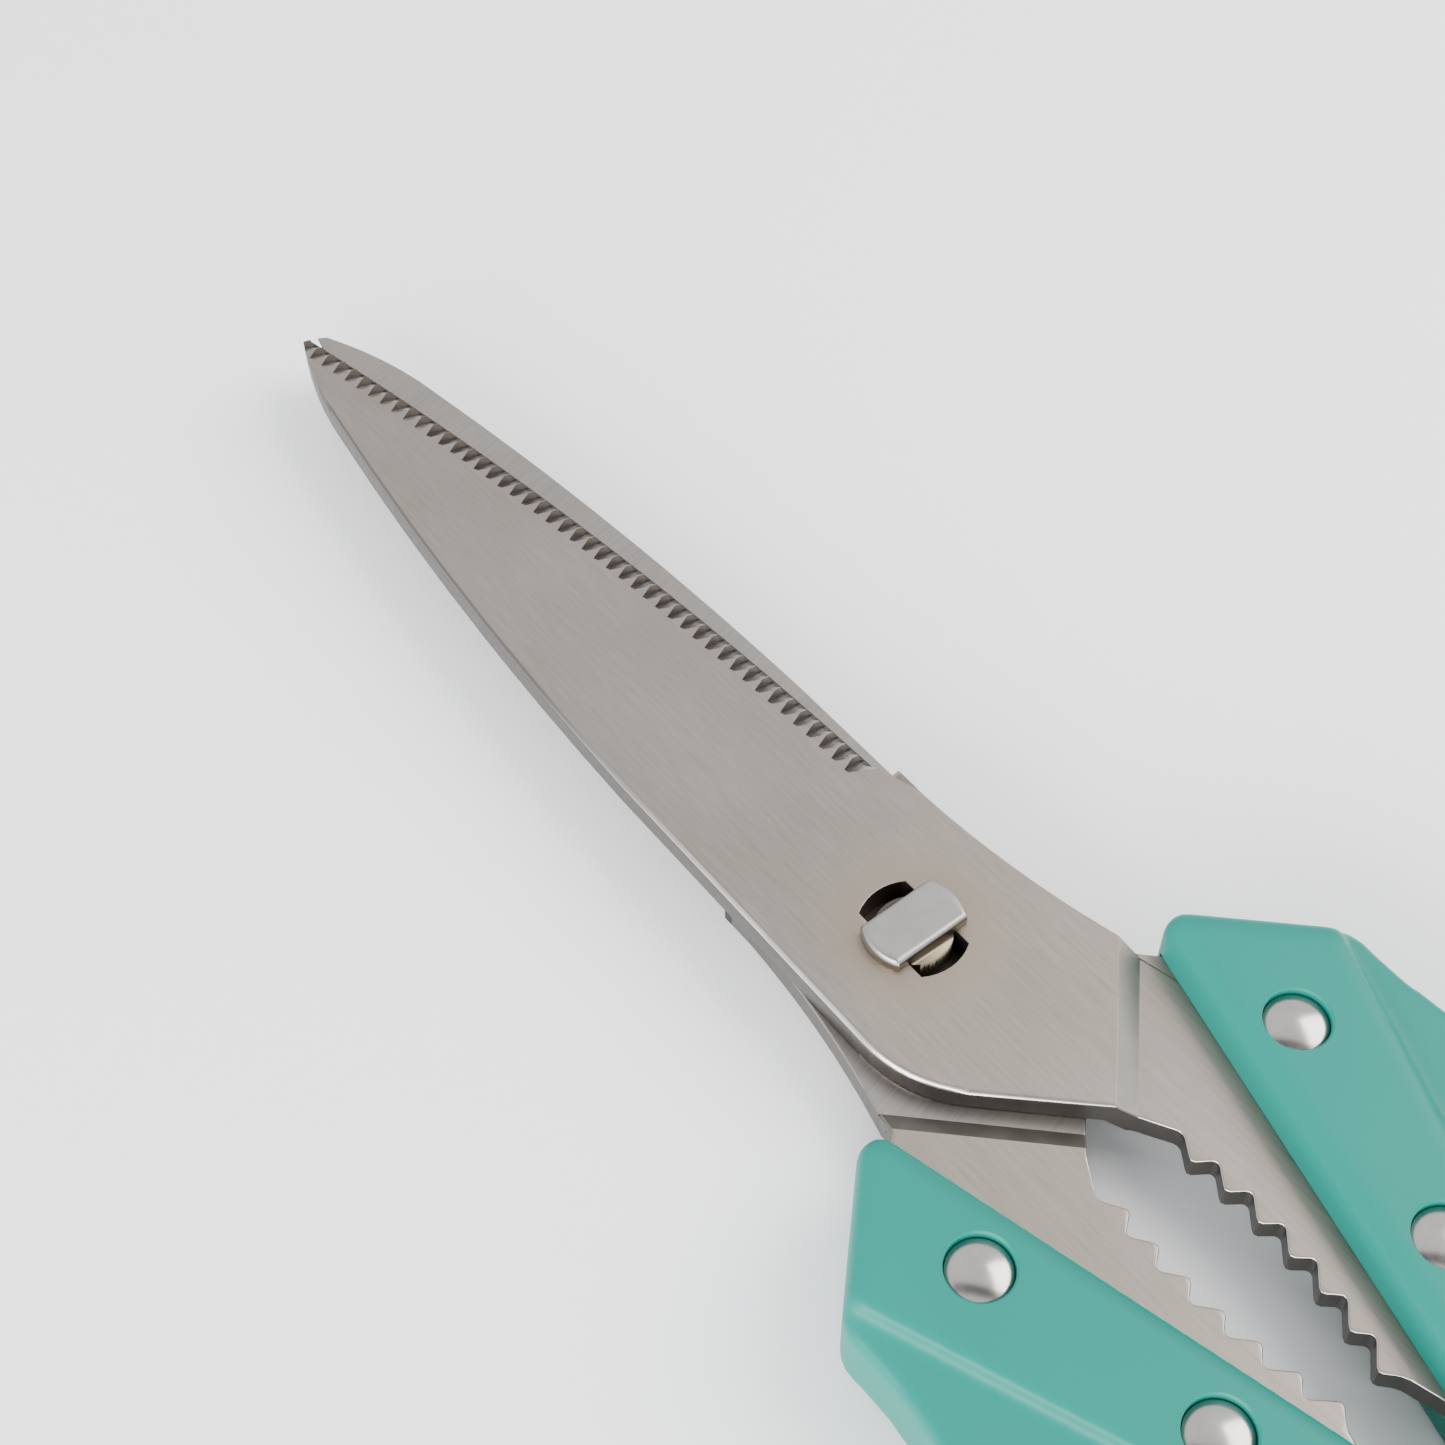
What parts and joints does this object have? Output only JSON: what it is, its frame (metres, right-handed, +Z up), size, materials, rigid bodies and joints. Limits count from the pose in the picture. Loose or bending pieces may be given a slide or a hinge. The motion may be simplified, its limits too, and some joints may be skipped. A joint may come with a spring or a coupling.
{
  "type": "take-apart kitchen shears",
  "caption": "Kitchen shears with notched steel blades, gripping teeth between riveted plastic loop handles, and a hooked stud that lets the halves come apart.",
  "frame": {"origin": "middle of the length and width over everything, on the surface that the shears lie on, closed", "axes": "+X along the length to the blade tips, +Y to the lower half's handle, +Z up through the pivot"},
  "size_m": [0.203, 0.079, 0.01],
  "materials": {
    "blades": "satin, brushed",
    "stud": "satin, softened edges",
    "rivets": "polished",
    "handles": "semi-gloss moulded, turquoise"
  },
  "bodies": {
    "lower_half": {"lower_blade": "blades", "lower_handle": "handles", "lower_front_rivet_pin": "rivets", "lower_front_rivet_cap": "rivets", "lower_middle_rivet_pin": "rivets", "lower_middle_rivet_cap": "rivets", "lower_rear_rivet_pin": "rivets", "lower_rear_rivet_cap": "rivets", "pivot_stud": "stud"},
    "upper_half": {"upper_blade": "blades", "upper_handle": "handles", "upper_front_rivet_pin": "rivets", "upper_front_rivet_cap": "rivets", "upper_middle_rivet_pin": "rivets", "upper_middle_rivet_cap": "rivets", "upper_rear_rivet_pin": "rivets", "upper_rear_rivet_cap": "rivets"}
  },
  "joints": [
    {"name": "blade_pivot", "type": "hinge", "parent": "lower_half", "child": "upper_half", "pos_m": [0.0105, 0, 0.005], "axis": [0, 0, 1], "range_deg": [0, 90]}
  ]
}
